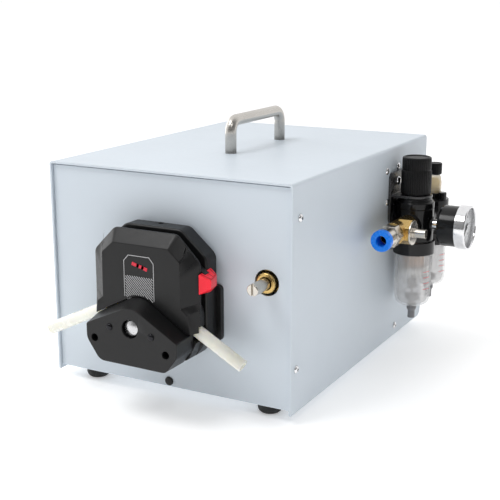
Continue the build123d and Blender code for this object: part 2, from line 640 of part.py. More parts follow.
with BuildPart() as regulator_bonnet:
    spun(level(unit_x, regulator_y, unit_high),
         [(19.2, 0), (19.2, 5.6), (18.6, 6.4), (17.6, 6.6), (17.4, 8.2), (16.4, 8.4), (16.2, 10.6), (11, 10.6),
          (11, 24), (4.05, 24), (4.05, 21), (8.5, 21), (8.5, 3), (4.05, 3), (4.05, 0)])
save(regulator_bonnet, "regulator_bonnet")

knob_low, knob_high = base + 156.5, base + 194
knob_wall = 12.6
with BuildPart() as regulator_knob:
    spun(level(unit_x, regulator_y, 0), [(0, knob_high), (13, knob_high), (14.6, knob_high - 1.6),
                                         (14.6, knob_high - 12), (14.1, knob_high - 12.6), (15.2, knob_high - 13.4),
                                         (15.2, knob_low), (knob_wall, knob_low), (knob_wall, knob_high - 4),
                                         (0, knob_high - 4)])
save(regulator_knob, "regulator_knob")

with BuildPart() as regulator_spindle:
    spun(level(unit_x, regulator_y, 0), [(0, knob_high - 8), (12.2, knob_high - 8), (12.2, knob_high - 14),
                                         (4, knob_high - 14), (4, unit_high + 1), (0, unit_high + 1)])
save(regulator_spindle, "regulator_spindle")


def bowl(y, radius, low, name):
    """Clear bowl with a round bottom and a hole for its drain."""
    wall = 2.2
    with BuildPart() as cup:
        with BuildSketch(Plane(origin=(unit_x, y, 0), x_dir=(1, 0, 0), z_dir=(0, -1, 0))) as cup_shape:
            with BuildLine():
                Polyline((3.1, low), (radius - 5, low), (radius - 2.2, low + 2), (radius - 0.5, low + 6),
                         (radius, low + 12), (radius - 0.5, unit_low), (radius - wall - 0.5, unit_low),
                         (radius - wall, low + 12), (radius - wall - 0.6, low + 6.6),
                         (radius - wall - 1.6, low + 3.8), (radius - 6, low + wall), (3.1, low + wall), close=True)
            make_face()
        revolve(cup_shape.sketch, axis=Axis((unit_x, y, 0), (0, 0, 1)))
    save(cup, name)


filter_low, oiler_low = base + 42, base + 51
bowl_radius, oiler_radius = 18.6, 17.3
collar_wall = 2.4
bowl(regulator_y, bowl_radius, filter_low, "filter_bowl")
bowl(lubricator_y, oiler_radius, oiler_low, "lubricator_bowl")

with BuildPart() as bowl_collars:
    for y, radius in ((regulator_y, bowl_radius), (lubricator_y, oiler_radius)):
        disc(level(unit_x, y, base + 96), radius + collar_wall, unit_low - base - 96, inner=radius)
save(bowl_collars, "bowl_collars")

with BuildPart() as filter_element:
    disc(level(unit_x, regulator_y, base + 82), 11, unit_low + 5 - base - 82, inner=7)
save(filter_element, "filter_element")

with BuildPart() as filter_baffle:
    spun(level(unit_x, regulator_y, base), [(3, 74.6), (15.2, 74.6), (15.6, 76), (15.6, 80), (14.6, 82), (3, 82)])
save(filter_baffle, "filter_baffle")


def drain(y, low, name):
    """Turn-to-open drain through the bottom of a bowl."""
    with BuildPart() as valve:
        spun(level(unit_x, y, low), [(0, 9), (7, 9), (7, 5), (5.5, 2.7), (2.8, 2.7), (2.8, -1), (5, -1), (5, -6),
                                     (3.6, -8.5), (3.6, -16), (2.2, -16), (2.2, 2), (0, 2)])
    save(valve, name)


drain(regulator_y, filter_low, "filter_drain")
drain(lubricator_y, oiler_low, "lubricator_drain")

dome_x = right + 24.5
plug_x, plug_y = dome_x + 10.5, lubricator_y - 6.0
oiler_port = 19.0                            # rear port face behind the lubricator's centre
with BuildPart() as lubricator_body:
    disc(level(unit_x, lubricator_y, unit_low), oiler_half, unit_high - unit_low)
    fillet(lubricator_body.edges().filter_by(GeomType.CIRCLE), radius=1)
    disc(level(dome_x, lubricator_y, unit_high), 9, 6)
    disc(level(plug_x, plug_y, unit_high), 4.3, 8)
    disc(facing(lubricator_y + oiler_port, unit_x, port_z), 12, 7)
    disc(facing(lubricator_y + oiler_port, unit_x, port_z), 6.4, 14, mode=Mode.SUBTRACT)
    disc(level(unit_x, lubricator_y, oiler_low + 12), 2.6, unit_low - oiler_low - 12)
    disc(facing(lubricator_y - 12, unit_x, port_z), 11.5, lubricator_y - 12 - regulator_y - unit_radius)
    disc(facing(regulator_y + unit_radius, unit_x, port_z), 6.4, 10)
save(lubricator_body, "lubricator_body")

with BuildPart() as sight_dome:
    spun(level(dome_x, lubricator_y, unit_high + 6), [(0, 19), (4.6, 19), (6, 17), (7, 11), (7, 0), (5.4, 0),
                                                      (5.4, 11), (4, 15), (0, 15)])
save(sight_dome, "sight_dome")

with BuildPart() as oil_knob:
    spun(level(dome_x, lubricator_y, unit_high + 25.3), [(0, 12), (6, 12), (6.6, 11.4), (6.6, 1), (5.6, 0), (0, 0)])
save(oil_knob, "oil_knob")

# ---- pressure gauge ----
gauge_back = right + 50.0
gauge_face = right + gauge_reach
gauge_depth = gauge_face - gauge_back
case_radius = 20.5
with BuildPart() as gauge_case:
    dial_depth = gauge_depth - 6
    spun(rightward(gauge_back, regulator_y, port_z),
         [(0, 0), (17, 0), (19.6, 1), (case_radius, 3.5), (case_radius, dial_depth), (18.9, dial_depth), (18.9, 4),
          (0, 4)])
    disc(rightward(stem_start, regulator_y, port_z), 4, 10)
    disc(rightward(stem_start + 10, regulator_y, port_z), 5.5, gauge_back - stem_start - 10)
save(gauge_case, "gauge_case")

with BuildPart() as gauge_bezel:
    spun(rightward(gauge_face, regulator_y, port_z),
         [(case_radius, -10.8), (22.2, -10.8), (22.2, -1.2), (21.7, -0.3), (20.9, 0), (20, -0.4), (19.6, -1.6),
          (case_radius, -1.6)])
save(gauge_bezel, "gauge_bezel")

with BuildPart() as gauge_dial:
    disc(rightward(gauge_face - 6, regulator_y, port_z), case_radius, 1)
save(gauge_dial, "gauge_dial")

needle_start = radians(225)
with BuildPart() as gauge_needle:
    with BuildSketch(rightward(gauge_face - 4.6, regulator_y, port_z)) as needle_shape:
        with BuildLine():
            along = (cos(needle_start), sin(needle_start))
            across = (-along[1], along[0])
            Polyline(*[(a * along[0] + b * across[0], a * along[1] + b * across[1])
                       for a, b in ((-5, -0.9), (14, -0.3), (14, 0.3), (-5, 0.9))], close=True)
        make_face()
        Circle(2)
    extrude(needle_shape.sketch, amount=0.8)
save(gauge_needle, "gauge_needle")

with BuildPart() as gauge_lens:
    disc(rightward(gauge_face - 3.2, regulator_y, port_z), case_radius, 1.6)
save(gauge_lens, "gauge_lens")

# ---- air inlet ----
tee_y = front + 192.0
tee_end = front + 176.0
tee_radius = 11.0
washer_x, stud_end = right + 36.0, right + 50.0
with BuildPart() as inlet_tee:
    disc(facing(regulator_y - port_reach, unit_x, port_z), tee_radius, regulator_y - port_reach - tee_end)
    with BuildSketch(rightward(unit_x, tee_y, port_z)) as branch_shape:
        RegularPolygon(10.6, 6, major_radius=False, rotation=30)
    extrude(branch_shape.sketch, amount=washer_x - unit_x)
    disc(facing(regulator_y - 11, unit_x, port_z), 6.4, 10)
    disc(facing(regulator_y - 11, unit_x, port_z), 4, regulator_y - 11 - tee_end, mode=Mode.SUBTRACT)
    disc(facing(tee_end + 10, unit_x, port_z), 6.4, 10, mode=Mode.SUBTRACT)
    disc(rightward(washer_x, tee_y, port_z), 12, 1.5)
    disc(rightward(washer_x + 1.5, tee_y, port_z), 4.5, stud_end - washer_x - 1.5)
save(inlet_tee, "inlet_tee")

ring_face = front + 144.0
ring_lip = 6.0
ring_travel = 1.2
barrel_end = ring_face + ring_lip + ring_travel + 0.2
with BuildPart() as inlet_fitting:
    disc(facing(tee_end + 9, unit_x, port_z), 6.4, 9)
    with BuildSketch(facing(tee_end, unit_x, port_z)) as hex_shape:
        RegularPolygon(10, 6, major_radius=False)
    extrude(hex_shape.sketch, amount=12)
    disc(facing(tee_end - 12, unit_x, port_z), 9.6, tee_end - 12 - barrel_end)
    disc(facing(tee_end + 9, unit_x, port_z), 4, 30, mode=Mode.SUBTRACT)
    disc(facing(barrel_end + 14, unit_x, port_z), 5.1, 14, mode=Mode.SUBTRACT)
    disc(facing(barrel_end + 7, unit_x, port_z), 7.3, 7, mode=Mode.SUBTRACT)
save(inlet_fitting, "inlet_fitting")

with BuildPart() as release_ring:
    disc(facing(ring_face + ring_lip, unit_x, port_z), 10.4, ring_lip, inner=5.1)
    disc(facing(barrel_end + 5, unit_x, port_z), 7.25, barrel_end + 5 - ring_face - ring_lip, inner=5.1)
    fillet(release_ring.edges().filter_by(GeomType.CIRCLE).group_by(Axis.Y)[0], radius=1)
save(release_ring, "release_ring")

# ---- outlet elbow, back through the cabinet wall ----
elbow_radius = 7.5
with BuildPart() as outlet_elbow:
    disc(facing(elbow_y, unit_x, port_z), elbow_radius, elbow_y - lubricator_y - oiler_port)
    disc(facing(lubricator_y + oiler_port, unit_x, port_z), 6.4, 10)
    with Locations((unit_x, elbow_y, port_z)):
        Sphere(elbow_radius)
    disc(rightward(unit_x, elbow_y, port_z), elbow_radius, right + 6 - unit_x)
    disc(facing(elbow_y, unit_x, port_z), 3.5, 24, mode=Mode.SUBTRACT)
    disc(rightward(right + 6, elbow_y, port_z), 3.5, unit_x - right - 6, mode=Mode.SUBTRACT)
save(outlet_elbow, "outlet_elbow")
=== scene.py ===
import bmesh
import bpy
import json
from math import cos, pi, radians, sin
from mathutils import Matrix, Vector

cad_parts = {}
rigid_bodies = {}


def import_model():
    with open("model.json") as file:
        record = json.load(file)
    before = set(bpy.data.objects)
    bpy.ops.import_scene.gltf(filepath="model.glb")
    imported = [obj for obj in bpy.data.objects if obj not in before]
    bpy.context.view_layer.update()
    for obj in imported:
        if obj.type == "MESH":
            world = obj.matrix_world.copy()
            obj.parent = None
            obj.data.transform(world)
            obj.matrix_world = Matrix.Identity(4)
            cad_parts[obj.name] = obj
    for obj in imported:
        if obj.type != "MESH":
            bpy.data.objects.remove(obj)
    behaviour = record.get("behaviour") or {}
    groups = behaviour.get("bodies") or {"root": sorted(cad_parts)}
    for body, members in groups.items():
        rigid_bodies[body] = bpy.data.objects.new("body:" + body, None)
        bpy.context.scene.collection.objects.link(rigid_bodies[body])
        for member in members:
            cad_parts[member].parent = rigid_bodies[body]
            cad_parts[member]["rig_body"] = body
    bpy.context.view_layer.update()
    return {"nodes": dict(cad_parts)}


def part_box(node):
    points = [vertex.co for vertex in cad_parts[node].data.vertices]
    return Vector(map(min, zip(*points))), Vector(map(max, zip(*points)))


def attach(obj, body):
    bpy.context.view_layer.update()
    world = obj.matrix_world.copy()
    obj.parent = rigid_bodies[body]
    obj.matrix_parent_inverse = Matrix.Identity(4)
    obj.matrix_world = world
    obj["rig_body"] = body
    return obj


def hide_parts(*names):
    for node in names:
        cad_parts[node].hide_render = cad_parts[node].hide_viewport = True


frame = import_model()
nodes = frame["nodes"]
scene = bpy.context.scene

MM = 0.001
MERGE_DISTANCE = 0.000004
FLAT_ANGLE = radians(0.7)
SHEET_METAL = ("cover", "chassis", "rear_panel")
SIDE_SCREWS = ((14.6, 172.6), (9.3, 40.5), (247.9, 10.6))
UNIT_SCREWS = ((243.4, 182.0), (212.1, 181.1), (214.3, 149.2))
SCREW_HEAD_HEIGHT = 1.98
UP, RIGHTWARD, LEFTWARD = (0, 0, 1), (1, 0, 0), (-1, 0, 0)
FORWARD, REARWARD = (0, -1, 0), (0, 1, 0)


# ---------------------------------------------------------------- places, from the frame
def middle(node):
    low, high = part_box(node)
    return (low + high) / 2


cover_low, cover_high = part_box("cover")
left, right = cover_low.x, cover_high.x
front, base = cover_low.y, cover_low.z
shaft = middle("drive_shaft")
gauge = middle("gauge_dial")
stem_start = right + 50.0 * MM - 0.0004
washer_start = right + 36.0 * MM + 0.0002


# ---------------------------------------------------------------- camera and light
def aim(thing, target):
    thing.rotation_euler = (target - thing.location).to_track_quat("-Z", "Y").to_euler()


def make_camera():
    """Long lens from the front right, a little above."""
    azimuth, elevation, distance = radians(28.34), radians(14.33), 1.0
    target = Vector((-0.0081, -0.0506, 0.1228))
    back = Vector((sin(azimuth) * cos(elevation), -cos(azimuth) * cos(elevation), sin(elevation)))
    data = bpy.data.cameras.new("camera")
    data.lens, data.sensor_width = 75.2, 36
    data.clip_start, data.clip_end = 0.05, 50
    camera = bpy.data.objects.new("camera", data)
    camera.location = target + back * distance
    scene.collection.objects.link(camera)
    aim(camera, target)
    scene.camera = camera


def softbox(name, place, target, size, power):
    data = bpy.data.lights.new(name, "AREA")
    data.shape, data.size, data.size_y = "RECTANGLE", size[0], size[1]
    data.energy = power
    lamp = bpy.data.objects.new(name, data)
    lamp.location = place
    scene.collection.objects.link(lamp)
    aim(lamp, Vector(target))


def make_studio():
    """White surroundings, darker behind the camera, with soft boxes at the upper left, the left and the right."""
    dark_side = (0.68, -0.73, 0.0)
    world = bpy.data.worlds.new("studio")
    world.use_nodes = True
    tree = world.node_tree
    direction = tree.nodes.new("ShaderNodeTexCoord").outputs["Generated"]
    facing = tree.nodes.new("ShaderNodeVectorMath")
    facing.operation = "DOT_PRODUCT"
    facing.inputs[1].default_value = dark_side
    tree.links.new(direction, facing.inputs[0])
    shade = tree.nodes.new("ShaderNodeMapRange")
    shade.interpolation_type = "SMOOTHSTEP"
    for key, value in (("From Min", -0.15), ("From Max", 0.6), ("To Min", 1.02), ("To Max", 0.22)):
        shade.inputs[key].default_value = value
    tree.links.new(facing.outputs["Value"], shade.inputs["Value"])
    background = tree.nodes["Background"]
    background.inputs["Color"].default_value = (1, 1, 1, 1)
    tree.links.new(shade.outputs["Result"], background.inputs["Strength"])
    scene.world = world
    softbox("key", (-0.55, -0.8, 1.6), (0, -0.1, 0.12), (0.85, 0.7), 10)
    softbox("left_box", (-1.4, 0.25, 0.5), (-0.05, -0.18, 0.12), (1.0, 1.2), 5)
    softbox("corner_light", (0.55, -0.75, 1.1), (-0.02, -0.18, 0.14), (0.28, 0.28), 1.3)
    scene.view_settings.view_transform = "Standard"


# ---------------------------------------------------------------- materials
class Finish:
    """A node material built up step by step round one Principled shader."""

    def __init__(self, name, color, roughness, metallic=0.0):
        self.material = bpy.data.materials.new(name)
        self.material.use_nodes = True
        self.tree = self.material.node_tree
        self.shader = self.tree.nodes["Principled BSDF"]
        self.color = color
        self.shader.inputs["Base Color"].default_value = (*color, 1)
        self.shader.inputs["Roughness"].default_value = roughness
        self.shader.inputs["Metallic"].default_value = metallic
        self.roughness = roughness
        self.coords = self.tree.nodes.new("ShaderNodeTexCoord").outputs["Object"]
        self.normal = None

    def put(self, kind, **values):
        node = self.tree.nodes.new(kind)
        for key, value in values.items():
            setattr(node, key, value)
        return node

    def link(self, a, b):
        self.tree.links.new(a, b)

    def set(self, **sockets):
        for key, value in sockets.items():
            self.shader.inputs[key.replace("_", " ")].default_value = value
        return self

    def noise(self, scale, detail=4.0, rough=0.55, stretch=(1, 1, 1)):
        mapping = self.put("ShaderNodeMapping")
        mapping.inputs["Scale"].default_value = stretch
        self.link(self.coords, mapping.inputs["Vector"])
        node = self.put("ShaderNodeTexNoise")
        node.inputs["Scale"].default_value = scale
        node.inputs["Detail"].default_value = detail
        node.inputs["Roughness"].default_value = rough
        self.link(mapping.outputs[0], node.inputs["Vector"])
        return node.outputs["Fac"]

    def spread(self, source, low, high, start=0.3, end=0.7):
        node = self.put("ShaderNodeMapRange")
        for key, value in (("From Min", start), ("From Max", end), ("To Min", low), ("To Max", high)):
            node.inputs[key].default_value = value
        self.link(source, node.inputs["Value"])
        return node.outputs["Result"]

    def bump(self, source, depth_mm, strength=1.0):
        node = self.put("ShaderNodeBump")
        node.inputs["Distance"].default_value = depth_mm * MM
        node.inputs["Strength"].default_value = strength
        self.link(source, node.inputs["Height"])
        if self.normal is not None:
            self.link(self.normal, node.inputs["Normal"])
        self.normal = node.outputs["Normal"]
        self.link(self.normal, self.shader.inputs["Normal"])
        return self

    def vary_roughness(self, source, amount):
        out = self.spread(source, max(self.roughness - amount, 0.02), min(self.roughness + amount, 1))
        self.link(out, self.shader.inputs["Roughness"])
        return self

    def vary_color(self, source, dark, light):
        ramp = self.put("ShaderNodeMix", data_type="RGBA")
        ramp.inputs["A"].default_value = (*[c * dark for c in self.color], 1)
        ramp.inputs["B"].default_value = (*[min(c * light, 1) for c in self.color], 1)
        self.link(self.spread(source, 0, 1), ramp.inputs["Factor"])
        self.link(ramp.outputs["Result"], self.shader.inputs["Base Color"])
        self.painted = ramp.outputs["Result"]
        return self

    def worn_edges(self, color, amount):
        """Lighter broken line along outer edges."""
        geometry = self.put("ShaderNodeNewGeometry")
        edge = self.spread(geometry.outputs["Pointiness"], 0, amount, 0.52, 0.6)
        broken = self.put("ShaderNodeMath", operation="MULTIPLY")
        self.link(edge, broken.inputs[0])
        self.link(self.spread(self.noise(900, 3), 0.2, 1, 0.35, 0.6), broken.inputs[1])
        mix = self.put("ShaderNodeMix", data_type="RGBA")
        mix.inputs["B"].default_value = (*color, 1)
        self.link(self.painted, mix.inputs["A"])
        self.link(broken.outputs[0], mix.inputs["Factor"])
        self.link(mix.outputs["Result"], self.shader.inputs["Base Color"])
        self.painted = mix.outputs["Result"]
        return self


def powder_coat():
    look = Finish("powder_coat", (0.635, 0.7, 0.765), 0.46)
    look.vary_color(look.noise(9, 3), 0.975, 1.02)
    look.vary_roughness(look.noise(300, 3), 0.05)
    look.bump(look.noise(1400, 2, 0.4), 0.05, 0.55)
    look.bump(look.noise(260, 2, 0.4), 0.06, 0.35)
    return look.set(Coat_Weight=0.12, Coat_Roughness=0.3).material


def moulded_black(name="moulded_black", tone=0.006, roughness=0.37, specular=0.34):
    look = Finish(name, (tone, tone, tone * 1.06), roughness)
    look.vary_color(look.noise(35, 3), 0.85, 1.2)
    look.vary_roughness(look.noise(420, 4), 0.05)
    look.bump(look.noise(2600, 2, 0.5), 0.02, 0.4)
    look.worn_edges((0.05, 0.05, 0.055), 0.4)
    return look.set(Specular_IOR_Level=specular).material


def gloss_black():
    look = Finish("gloss_black", (0.005, 0.005, 0.0055), 0.16)
    look.vary_color(look.noise(60, 2), 0.8, 1.25)
    look.vary_roughness(look.noise(240, 4), 0.05)
    look.bump(look.noise(500, 2), 0.012, 0.3)
    return look.set(Specular_IOR_Level=0.32).material


def cast_black():
    look = Finish("cast_black", (0.016, 0.016, 0.018), 0.3)
    look.vary_color(look.noise(80, 3), 0.75, 1.35)
    look.vary_roughness(look.noise(300, 4), 0.1)
    look.bump(look.noise(700, 3), 0.08, 0.45)
    look.worn_edges((0.16, 0.16, 0.16), 0.35)
    return look.set(Coat_Weight=0.35, Coat_Roughness=0.12).material


def rubber():
    look = Finish("foot_rubber", (0.014, 0.014, 0.014), 0.7)
    look.vary_color(look.noise(120, 4), 0.7, 1.5)
    look.bump(look.noise(1500, 3), 0.06, 0.5)
    return look.material


def red_plastic():
    look = Finish("red_plastic", (1.0, 0.012, 0.035), 0.32)
    look.vary_color(look.noise(60, 3), 0.93, 1.05)
    look.vary_roughness(look.noise(500, 3), 0.06)
    look.bump(look.noise(2200, 2), 0.02, 0.4)
    return look.set(Specular_IOR_Level=0.35).material


def blue_plastic():
    look = Finish("blue_plastic", (0.0, 0.23, 1.0), 0.28)
    look.vary_color(look.noise(90, 3), 0.92, 1.08)
    look.vary_roughness(look.noise(500, 3), 0.06)
    look.bump(look.noise(1800, 2), 0.02, 0.4)
    return look.material


def brushed(name, color, roughness, stretch):
    """Metal with fine lines along the axis that isn't stretched."""
    look = Finish(name, color, roughness, 1.0)
    grain = look.noise(900, 4, 0.6, stretch)
    look.vary_color(look.noise(40, 3), 0.93, 1.03)
    look.vary_roughness(grain, 0.06)
    look.bump(grain, 0.012, 0.3)
    return look.material


def bright_metal(name, color, roughness):
    look = Finish(name, color, roughness, 1.0)
    look.vary_color(look.noise(120, 3), 0.94, 1.04)
    look.vary_roughness(look.noise(700, 3), 0.04)
    look.bump(look.noise(600, 2), 0.006, 0.2)
    return look.material


def sintered(name, color):
    look = Finish(name, color, 0.5, 0.9)
    grain = look.put("ShaderNodeTexVoronoi")
    grain.inputs["Scale"].default_value = 1500
    look.link(look.coords, grain.inputs["Vector"])
    look.vary_color(look.noise(900, 3), 0.6, 1.25)
    look.bump(grain.outputs["Distance"], 0.25, 0.8)
    return look.material


def clear(name, color, see_through, roughness=0.06):
    """Clear plastic or glass: each wall lets light through and keeps a little of its own colour."""
    look = Finish(name, color, roughness)
    look.vary_color(look.noise(90, 2), 0.97, 1.03)
    look.vary_roughness(look.noise(160, 3), 0.03)
    look.bump(look.noise(60, 2), 0.05, 0.25)
    return look.set(Alpha=1 - see_through, Specular_IOR_Level=0.8, Coat_Weight=0.5, Coat_Roughness=0.03).material


def silicone():
    look = Finish("silicone", (0.95, 0.93, 0.83), 0.26)
    look.vary_color(look.noise(60, 3), 0.96, 1.03)
    look.vary_roughness(look.noise(200, 3), 0.04)
    look.bump(look.noise(120, 2), 0.03, 0.2)
    return look.set(IOR=1.41, Subsurface_Weight=0.35, Subsurface_Radius=(0.006, 0.005, 0.003), Subsurface_Scale=0.6,
                    Coat_Weight=0.3, Coat_Roughness=0.1).material


def plain_paint(name, color, roughness):
    look = Finish(name, color, roughness)
    look.vary_color(look.noise(200, 3), 0.95, 1.03)
    look.vary_roughness(look.noise(400, 3), 0.06)
    look.bump(look.noise(1800, 2), 0.01, 0.3)
    return look.material


MATERIALS = {
    "coat": powder_coat(), "black": moulded_black(), "gloss": gloss_black(), "cast": cast_black(),
    "knob": moulded_black("knob_black", 0.004, 0.42, 0.2), "rubber": rubber(), "red": red_plastic(),
    "blue": blue_plastic(), "handle": brushed("handle_steel", (0.56, 0.535, 0.5), 0.27, (1, 1, 8)),
    "steel": brushed("turned_steel", (0.6, 0.6, 0.61), 0.24, (1, 6, 1)),
    "chrome": bright_metal("chrome_plate", (0.8, 0.8, 0.81), 0.1),
    "nickel": bright_metal("nickel_plate", (0.62, 0.585, 0.53), 0.24),
    "brass": bright_metal("turned_brass", (0.58, 0.4, 0.15), 0.26),
    "alloy": bright_metal("cast_alloy", (0.5, 0.5, 0.51), 0.45),
    "bronze": sintered("sintered_bronze", (0.55, 0.3, 0.13)),
    "bowl": clear("clear_bowl", (0.8, 0.79, 0.785), 0.66), "amber": clear("amber_dome", (0.85, 0.68, 0.36), 0.5),
    "glass": clear("gauge_glass", (0.9, 0.9, 0.93), 0.93, 0.04), "silicone": silicone(),
    "white": plain_paint("white_acetal", (0.8, 0.8, 0.78), 0.35),
    "dial": plain_paint("dial_face", (0.86, 0.87, 0.88), 0.55),
    # dark ink for the dial print and the needle; also used as painted shade for the screw cross recesses
    "ink_and_painted_shade": plain_paint("dial_ink_and_painted_shade", (0.02, 0.02, 0.022), 0.5),
    "grey": plain_paint("grey_plastic", (0.2, 0.2, 0.21), 0.4),
    "silver": plain_paint("badge_silver", (0.5, 0.5, 0.51), 0.4),
    "mark": plain_paint("badge_red", (0.7, 0.01, 0.04), 0.4),
    # darker red: painted shade inside the grooves of the red lever tip
    "groove_shade": plain_paint("red_groove_shade", (0.45, 0.005, 0.015), 0.45),
    "level": plain_paint("level_mark", (0.75, 0.2, 0.22), 0.5),
    "hose": plain_paint("air_hose", (0.02, 0.07, 0.3), 0.35),
    "screw": bright_metal("black_oxide", (0.03, 0.03, 0.033), 0.12),
}


# ---------------------------------------------------------------- shapes
def link_piece(name, mesh, body, material):
    for polygon in mesh.polygons:
        polygon.use_smooth = True
    piece = bpy.data.objects.new(name, mesh)
    scene.collection.objects.link(piece)
    mesh.materials.clear()
    mesh.materials.append(MATERIALS[material])
    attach(piece, body)
    return piece


def soften(piece, width_mm, segments, angle, clamped):
    """Rounded edges with flat faces kept flat; clamped stops the edges of thin sheet from crossing."""
    bevel = piece.modifiers.new("edge", "BEVEL")
    bevel.width, bevel.segments = width_mm * MM, segments
    bevel.limit_method, bevel.angle_limit = "ANGLE", radians(angle)
    bevel.harden_normals, bevel.use_clamp_overlap = True, clamped
    level = piece.modifiers.new("level", "WEIGHTED_NORMAL")
    level.mode, level.weight, level.keep_sharp = "FACE_AREA", 90, True


def body_of(node):
    return nodes[node]["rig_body"]


def crisp(node, material, width_mm=0.4, segments=2, angle=28.0, second=None, where=None):
    """The CAD shape with rounded edges and smooth shading, in place of the node; faces where(middle) get second."""
    shape = bmesh.new()
    shape.from_mesh(nodes[node].data)
    bmesh.ops.remove_doubles(shape, verts=shape.verts, dist=MERGE_DISTANCE)
    bmesh.ops.dissolve_limit(shape, angle_limit=FLAT_ANGLE, verts=shape.verts, edges=shape.edges)
    mesh = bpy.data.meshes.new(node + "_skin")
    shape.to_mesh(mesh)
    shape.free()
    piece = link_piece(node + "_skin", mesh, body_of(node), material)
    if second:
        mesh.materials.append(MATERIALS[second])
        for polygon in mesh.polygons:
            polygon.material_index = int(where(polygon.center))
    if width_mm:
        soften(piece, width_mm, segments, angle, node in SHEET_METAL)
    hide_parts(node)


def basis(origin, axis, across):
    """Matrix that takes local Z to the axis and local X to the across direction."""
    z = Vector(axis).normalized()
    x = Vector(across).normalized()
    y = z.cross(x)
    return Matrix(((x.x, y.x, z.x, origin.x), (x.y, y.y, z.y, origin.y), (x.z, y.z, z.z, origin.z), (0, 0, 0, 1)))


def lathe(name, profile, origin, axis, across, body, material, turns=96, ribs=None, closed=False):
    """Turned piece from radius and height points in mm; ribs(angle, radius, height) changes the radius in mm."""
    shape = bmesh.new()
    rings = []
    for radius, height in profile:
        if radius < 1e-6:
            rings.append([shape.verts.new((0, 0, height * MM))])
            continue
        loop = []
        for step in range(turns):
            turn = 2 * pi * step / turns
            reach = (radius + (ribs(turn, radius, height) if ribs else 0)) * MM
            loop.append(shape.verts.new((reach * cos(turn), reach * sin(turn), height * MM)))
        rings.append(loop)
    pairs = list(zip(rings, rings[1:]))
    if closed:
        pairs.append((rings[-1], rings[0]))
    for lower, upper in pairs:
        for step in range(turns):
            after = (step + 1) % turns
            if len(lower) == 1:
                shape.faces.new((lower[0], upper[after], upper[step]))
            elif len(upper) == 1:
                shape.faces.new((lower[step], lower[after], upper[0]))
            else:
                shape.faces.new((lower[step], lower[after], upper[after], upper[step]))
    bmesh.ops.recalc_face_normals(shape, faces=shape.faces)
    shape.transform(basis(origin, axis, across))
    mesh = bpy.data.meshes.new(name)
    shape.to_mesh(mesh)
    shape.free()
    mesh.set_sharp_from_angle(angle=radians(35))
    return link_piece(name, mesh, body, material)


def strip(name, points, width_mm, lift_mm, origin, axis, across, body, material):
    """Flat raised line along points in mm, on the plane at origin."""
    shape = bmesh.new()
    count = len(points)
    inner, outer = [], []
    for i, point in enumerate(points):
        here = Vector(point)
        before = Vector(points[i - 1]) if i else here
        after = Vector(points[i + 1]) if i < count - 1 else here
        one = (here - before).normalized() if (here - before).length else (after - here).normalized()
        two = (after - here).normalized() if (after - here).length else one
        normal = Vector((-(one + two).y, (one + two).x)).normalized()
        scale = width_mm / 2 / max(normal.dot(Vector((-one.y, one.x))), 0.3)
        inner.append(here - normal * scale)
        outer.append(here + normal * scale)
    low = [[shape.verts.new((p.x * MM, p.y * MM, 0)) for p in side] for side in (inner, outer)]
    high = [[shape.verts.new((p.x * MM, p.y * MM, lift_mm * MM)) for p in side] for side in (inner, outer)]
    for i in range(count - 1):
        j = i + 1
        shape.faces.new((high[0][i], high[0][j], high[1][j], high[1][i]))
        shape.faces.new((low[1][i], low[1][j], low[0][j], low[0][i]))
        shape.faces.new((low[0][i], low[0][j], high[0][j], high[0][i]))
        shape.faces.new((high[1][i], high[1][j], low[1][j], low[1][i]))
    for i in (0, count - 1):
        shape.faces.new((low[0][i], high[0][i], high[1][i], low[1][i]))
    bmesh.ops.recalc_face_normals(shape, faces=shape.faces)
    shape.transform(basis(origin, axis, across))
    mesh = bpy.data.meshes.new(name)
    shape.to_mesh(mesh)
    shape.free()
    link_piece(name, mesh, body, material)
    for polygon in mesh.polygons:
        polygon.use_smooth = False


# ---------------------------------------------------------------- stage
def make_floor():
    bpy.ops.mesh.primitive_plane_add(size=30, location=(0, 0, 0))
    floor = bpy.context.object
    floor.name = "floor"
    look = Finish("pale_floor", (0.96, 0.96, 0.96), 0.6)
    look.vary_color(look.noise(2, 2), 0.998, 1.002)
    look.set(Emission_Color=(1, 1, 1, 1), Emission_Strength=0.32)
    floor.data.materials.append(look.material)


make_camera()
make_studio()
make_floor()

# ---------------------------------------------------------------- cabinet
for name in SHEET_METAL:
    crisp(name, "coat", 0.35, 2, 40)
crisp("rubber_feet", "rubber", 0.6, 3)
crisp("carry_handle", "handle", 0.0)
crisp("case_screws", "chrome", 0.0)
crisp("cover_screws", "chrome", 0.0)
crisp("panel_plug", "rubber", 0.2)
crisp("muffler", "bronze", 0.3)

# ---------------------------------------------------------------- head
for name in ("mount_plate", "head_body", "rotor_cover", "jaw_cover"):
    crisp(name, "black", 0.5, 3, 14)
for name in ("lever_arm", "clamp_left", "clamp_right"):
    crisp(name, "black", 0.3, 2)
crisp("lever_tip", "red", 0.6, 3)


def cross_recess(name, place, axis, across, body):
    """Dark cross on a screw head: painted shade standing in for the shade inside the screw's cross recess."""
    reach = 1.5
    for number, (x, y) in enumerate(((reach, 0), (0, reach))):
        # the dark strips are painted shade for the recess
        strip(f"{name}_{number}", [(-x, -y), (x, y)], 0.6, 0.12, place, axis, across, body, "ink_and_painted_shade")


